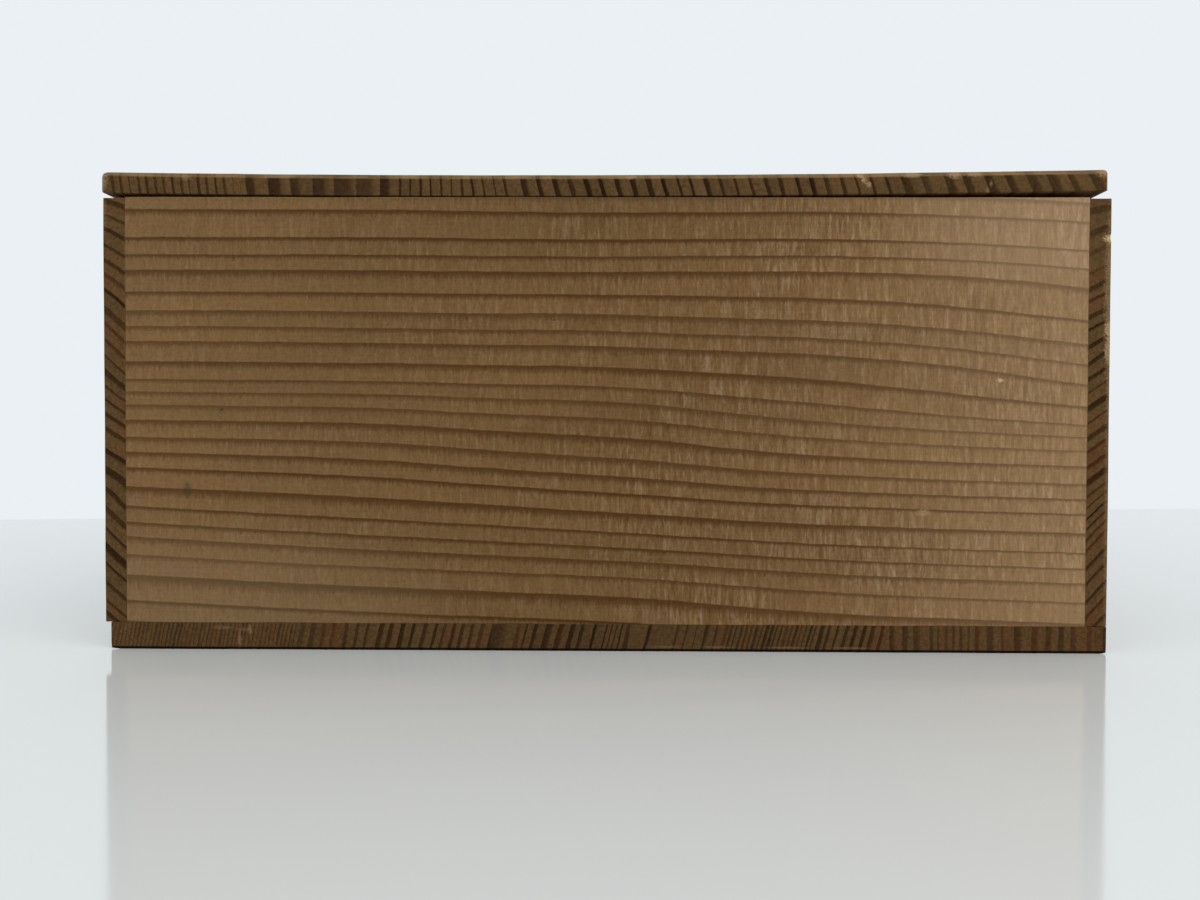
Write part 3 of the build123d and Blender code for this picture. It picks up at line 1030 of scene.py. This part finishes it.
class OBJECT_OT_storage_box_bottom(bpy.types.Operator):
    """Makes the two planks of the bottom board under the walls"""
    bl_idname = "object.storage_box_bottom"
    bl_label = "Make the bottom board"
    bl_options = {"REGISTER", "UNDO"}

    def execute(self, context):
        c = colours()
        _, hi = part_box("bottom_main_plank")
        top = hi.z / MM
        main = wood("bottom main plank wood", Grain(
            "Y", "X", "Z", ((-170, 0), (-101, 50), (-56, 62), (-41, 67), (-37, 68), (-28.5, 69), (-23, 71),
                            (-7, 75), (1, 77), (8, 81), (15, 82), (25, 83), (41, 88), (56, 97), (72, 107),
                            (92, 114), (100, 116)),
            lean=((-170, -0.2), (-100, -0.2), (-60, -0.25), (80, -0.27), (96, -0.09)),
            outer=top, seed=24.0, bark=-1, wander=0.5, uneven=0.3), wall_finish(
                c, red=0.4, worn_share=0.1, grime=FOOT_SHADE_HEIGHTS, stains=FOOT_MARKS_AND_HIGHLIGHTS,
                end_line=("X", ((-170, 0.5), (-100, 0.45), (-39, 0.4), (-36, 0.85), (-30, 0.85),
                                (-27, 0.4), (5, 0.45), (10, 0.12), (28, 0.14), (38, 0.45), (60, 0.5),
                                (100, 0.5))),
                end_contrast=("X", ((-170, 0.55), (-105, 0.6), (-60, 0.9), (-39, 0.9), (-36, 0.6),
                                    (-29, 0.6), (-26, 0.95), (0, 0.95), (40, 0.75), (60, 0.75),
                                    (76, 0.95), (100, 0.8))),
                tone=("X", ((-170, 0.96), (-110, 0.91), (-60, 0.89), (0, 0.83), (60, 0.85),
                            (100, 0.92)))))
        ends = {"-Y-Z": 0.0004, "+Y-Z": 0.0004, "-Y+Z": 0.00015, "+Y+Z": 0.00015}
        make_board("bottom_main_plank", "box", main, radii={**ends, "-X-Z": 0.0036},
                   glued="+X", peg_rows=BOTTOM_ROWS, seed=5.2)
        edge = wood("bottom edge plank wood", Grain(
            "Y", "X", "Z", ((90, 0), (95, 1), (103, 3), (108, 4), (123, 10), (127, 11), (136, 13),
                            (142, 14), (155, 17), (165.5, 19), (170, 20)),
            outer=top, seed=29.0, bark=-1, wander=0.5, uneven=0.3), wall_finish(
                c, end_line=0.45, end_contrast=0.7, red=0.45, worn_share=0.1, grime=FOOT_SHADE_HEIGHTS,
                stains=FOOT_MARKS_AND_HIGHLIGHTS, tone=("X", ((90, 0.92), (161, 0.93), (163, 0.8), (170, 0.76)))))
        make_board("bottom_edge_plank", "box", edge, radii={**ends, "+X-Z": 0.002},
                   glued="-X", peg_rows=BOTTOM_ROWS, seed=6.9)
        return {"FINISHED"}


class OBJECT_OT_storage_box_lid(bpy.types.Operator):
    """Makes the two planks of the cupped lid board"""
    bl_idname = "object.storage_box_lid"
    bl_label = "Make the lid board"
    bl_options = {"REGISTER", "UNDO"}

    def execute(self, context):
        c = colours()
        arris = context.scene.storage_box_shape.lid_arris
        top = LID_UNDERSIDE + LID_THICKNESS
        main = wood("lid main plank wood", Grain(
            "Y", "X", "Z", ((-126, -1), (-119, 0), (-74.5, 6), (-68, 7), (-34, 17), (-28, 18), (23, 28),
                            (27, 29), (91.5, 42), (97, 43), (158.5, 52), (170, 53.5)),
            lean=((-126, 0.1), (-68, 0.02), (-34, 0.17), (0, 0.28), (60, 0.3), (110, 0.4), (168, 0.55)),
            outer=top, seed=34.0, bark=-1, wander=0.5, uneven=0.25), wall_finish(
                c, worn_share=0.58, stains=LID_MARKS_AND_HIGHLIGHTS,
                end_line=("X", ((-126, 0.5), (-116, 0.5), (-100, 0.6), (-74, 0.7), (-67, 0.2), (-36, 0.2),
                                (-26, 0.3), (60, 0.26), (100, 0.36), (168, 0.52))),
                end_contrast=("X", ((-126, 0.86), (-75, 0.86), (-68, 1.0), (60, 1.0), (110, 0.78),
                                    (168, 0.68))),
                tone=("X", ((-126, 0.94), (-60, 0.92), (168, 0.95)))))
        ends = {"-Y+Z": arris, "+Y+Z": arris}
        make_board("lid_main_plank", "lid", main, cup=True, fine_axis="X", glued="-X",
                   radii={**ends, "+X+Z": arris * 0.7, "+X-Z": 0.0002, "+X-Y": 0.0007},
                   peg_rows=LID_ROWS, nicks=LID_NICKS, seed=7.5)
        edge = wood("lid edge plank wood", Grain(
            "Y", "X", "Z", ((-170, -2), (-164, 0), (-126.8, 13), (-120, 15)),
            lean=((-170, 0.14), (-120, 0.14)), outer=top, seed=39.0, bark=-1, wander=0.5, uneven=0.25),
            wall_finish(c, worn_share=0.58, end_line=0.28, end_contrast=0.85, stains=LID_EDGE_STAINS,
                        tone=("X", ((-170, 0.96), (-120, 0.95)))))
        make_board("lid_edge_plank", "lid", edge, cup=True, fine_axis="X", glued="+X",
                   radii={**ends, "-X+Z": arris, "-X-Z": 0.001, "-X-Y": 0.0012}, peg_rows=LID_ROWS,
                   seed=8.8)
        return {"FINISHED"}


class OBJECT_OT_storage_box_battens(bpy.types.Operator):
    """Makes the two battens under the lid"""
    bl_idname = "object.storage_box_battens"
    bl_label = "Make the battens"
    bl_options = {"REGISTER", "UNDO"}

    def execute(self, context):
        c = colours()
        for name, seed in (("front_batten", 44.0), ("rear_batten", 49.0)):
            lo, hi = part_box(name)
            middle = (lo.y + hi.y) / 2 / MM
            material = wood(name.replace("_", " ") + " wood", Grain(
                "X", "Y", "Z", ((middle - 14, 0), (middle + 14, 8)),
                lean=((middle - 14, 0.8), (middle + 14, 0.8)), outer=lo.z / MM, seed=seed, wander=1.0,
                uneven=0.3), wall_finish(c))
            make_board(name, "lid", material, peg_rows=(name + "_pegs",), seed=seed / 10)
        return {"FINISHED"}


def add_peg(bm, lo, hi, letter, outside):
    """Adds one peg, with a low dome on the end that faces out of the box."""
    radius = (hi[1] - lo[1]) / 2
    verts = add_rod(bm, radius, hi[AXES[letter]] - lo[AXES[letter]])
    caps = sorted({f for v in verts for f in v.link_faces if len(f.verts) > 4},
                  key=lambda f: f.calc_center_median().z)
    driven = caps[-1] if outside > 0 else caps[0]
    for rise in DOME_RISES:
        ring = bmesh.ops.inset_individual(bm, faces=[driven], thickness=radius * DOME_STEP, depth=rise * MM)
        verts = list(set(verts) | {v for f in ring["faces"] for v in f.verts})
    along_axis(verts, bm, letter)
    bmesh.ops.translate(bm, vec=(lo + hi) / 2, verts=verts)


class OBJECT_OT_storage_box_pegs(bpy.types.Operator):
    """Makes the wooden pegs that hold the boards"""
    bl_idname = "object.storage_box_pegs"
    bl_label = "Make the pegs"
    bl_options = {"REGISTER", "UNDO"}

    def execute(self, context):
        c = colours()
        woods = {axis: peg_wood("peg wood along " + axis, c, axis) for axis in ("X", "Z")}
        for node, (letter, outside) in PEG_ROWS.items():
            bm = bmesh.new()
            for lo, hi in islands(node):
                add_peg(bm, lo, hi, letter, outside)
            for f in bm.faces:
                f.smooth = True
            obj = shown(node + "_wood", bm)
            obj.data.set_sharp_from_angle(angle=math.radians(PEG_SHARP_DEGREES))
            obj.data.materials.append(woods[letter])
            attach(obj, "lid" if "batten" in node else "box")
            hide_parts(node)
        return {"FINISHED"}


# Stage

def table_material(settings):
    """Glossy table top, and the paper beyond its far edge."""
    r = Recipe(bpy.data.materials.new("table top"))
    x, y, _ = r.parts(r.node("ShaderNodeTexCoord").outputs["Object"])
    beyond = r.less(r.less(y, r.times(x, TABLE_EDGE_SLOPE)), TABLE_EDGE_Y)
    paper = r.ramp(beyond, -TABLE_EDGE_BLUR, TABLE_EDGE_BLUR)
    shader = r.surface({
        "Base Color": r.blend(paper, tuple(settings.table), tuple(settings.backdrop)),
        "Roughness": r.add(0.09, r.times(paper, 0.6)),
        "IOR": 2.0,
    })
    bright = r.node("ShaderNodeEmission")
    bright.inputs["Color"].default_value = (*settings.backdrop, 1.0)
    return r.done(r.mixed(r.times(r.looked_at(), paper), shader, bright.outputs[0]))


def pale_room(settings):
    """Even white light, and the backdrop's colour wherever the room itself is looked at."""
    r = Recipe(bpy.data.worlds.new("pale room"))
    light = r.node("ShaderNodeBackground")
    light.inputs["Color"].default_value = (1.0, 1.0, 1.0, 1.0)
    light.inputs["Strength"].default_value = settings.world_level
    paper = r.node("ShaderNodeBackground")
    paper.inputs["Color"].default_value = (*settings.backdrop, 1.0)
    return r.done(r.mixed(r.looked_at(), light.outputs[0], paper.outputs[0]), "ShaderNodeOutputWorld")


def area_light(name, place, power, colour):
    """A large soft lamp that looks at the box."""
    lamp = bpy.data.lights.new(name, "AREA")
    lamp.shape = "RECTANGLE"
    lamp.size = LAMP_SIZE
    lamp.size_y = LAMP_SIZE
    lamp.energy = power
    lamp.color = colour
    obj = bpy.data.objects.new(name, lamp)
    obj.location = place
    obj.rotation_euler = (Vector(LAMP_TARGET) - Vector(place)).to_track_quat("-Z", "Y").to_euler()
    bpy.context.scene.collection.objects.link(obj)


def photograph_camera():
    """A camera that stands where the photograph was taken from."""
    camera = bpy.data.objects.new("camera", bpy.data.cameras.new("camera"))
    bpy.context.scene.collection.objects.link(camera)
    camera.data.sensor_fit = "HORIZONTAL"
    camera.data.sensor_width = SENSOR_WIDTH
    camera.data.lens = SENSOR_WIDTH * FOCAL_PIXELS / PICTURE_WIDTH
    camera.data.clip_start = 0.01
    camera.location = CAMERA_PLACE
    camera.rotation_euler = [math.radians(turn) for turn in CAMERA_TURN]
    return camera


class OBJECT_OT_storage_box_stage(bpy.types.Operator):
    """Makes the table, the pale surroundings, the lights and the camera"""
    bl_idname = "object.storage_box_stage"
    bl_label = "Make the stage"
    bl_options = {"REGISTER", "UNDO"}

    def execute(self, context):
        scene = context.scene
        settings = scene.storage_box_stage
        bm = bmesh.new()
        bmesh.ops.create_grid(bm, x_segments=8, y_segments=8, size=FLOOR_REACH)
        table = shown("table_top", bm)
        table.data.materials.append(table_material(settings))
        scene.world = pale_room(settings)
        area_light("window_light", WINDOW_PLACE, settings.key_power, WINDOW_COLOUR)
        area_light("fill_light", FILL_PLACE, settings.fill_power, FILL_COLOUR)
        scene.camera = photograph_camera()
        scene.view_settings.view_transform = "Standard"
        return {"FINISHED"}


class VIEW3D_PT_storage_box(bpy.types.Panel):
    """Sizes, colours and steps of the storage box"""
    bl_label = "Storage box"
    bl_space_type = "VIEW_3D"
    bl_region_type = "UI"
    bl_category = "Storage box"

    def draw(self, context):
        scene = context.scene
        for held in (scene.storage_box_wood, scene.storage_box_shape, scene.storage_box_stage):
            column = self.layout.column()
            for key in held.bl_rna.properties.keys():
                if key not in ("rna_type", "name"):
                    column.prop(held, key)
        for step in STEPS:
            self.layout.operator(step.bl_idname)


STEPS = (
    OBJECT_OT_storage_box_end_boards,
    OBJECT_OT_storage_box_side_boards,
    OBJECT_OT_storage_box_bottom,
    OBJECT_OT_storage_box_lid,
    OBJECT_OT_storage_box_battens,
    OBJECT_OT_storage_box_pegs,
    OBJECT_OT_storage_box_stage,
)
GROUPS = (
    ("storage_box_wood", BoxWoodSettings),
    ("storage_box_shape", BoxShapeSettings),
    ("storage_box_stage", BoxStageSettings),
)


def register():
    for key, group in GROUPS:
        bpy.utils.register_class(group)
        setattr(bpy.types.Scene, key, bpy.props.PointerProperty(type=group))
    for step in STEPS:
        bpy.utils.register_class(step)
    bpy.utils.register_class(VIEW3D_PT_storage_box)


def unregister():
    bpy.utils.unregister_class(VIEW3D_PT_storage_box)
    for step in reversed(STEPS):
        bpy.utils.unregister_class(step)
    for key, group in reversed(GROUPS):
        delattr(bpy.types.Scene, key)
        bpy.utils.unregister_class(group)


def main():
    register()
    bpy.ops.object.storage_box_end_boards()
    bpy.ops.object.storage_box_side_boards()
    bpy.ops.object.storage_box_bottom()
    bpy.ops.object.storage_box_lid()
    bpy.ops.object.storage_box_battens()
    bpy.ops.object.storage_box_pegs()
    bpy.ops.object.storage_box_stage()
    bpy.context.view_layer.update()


if __name__ == "__main__":
    main()
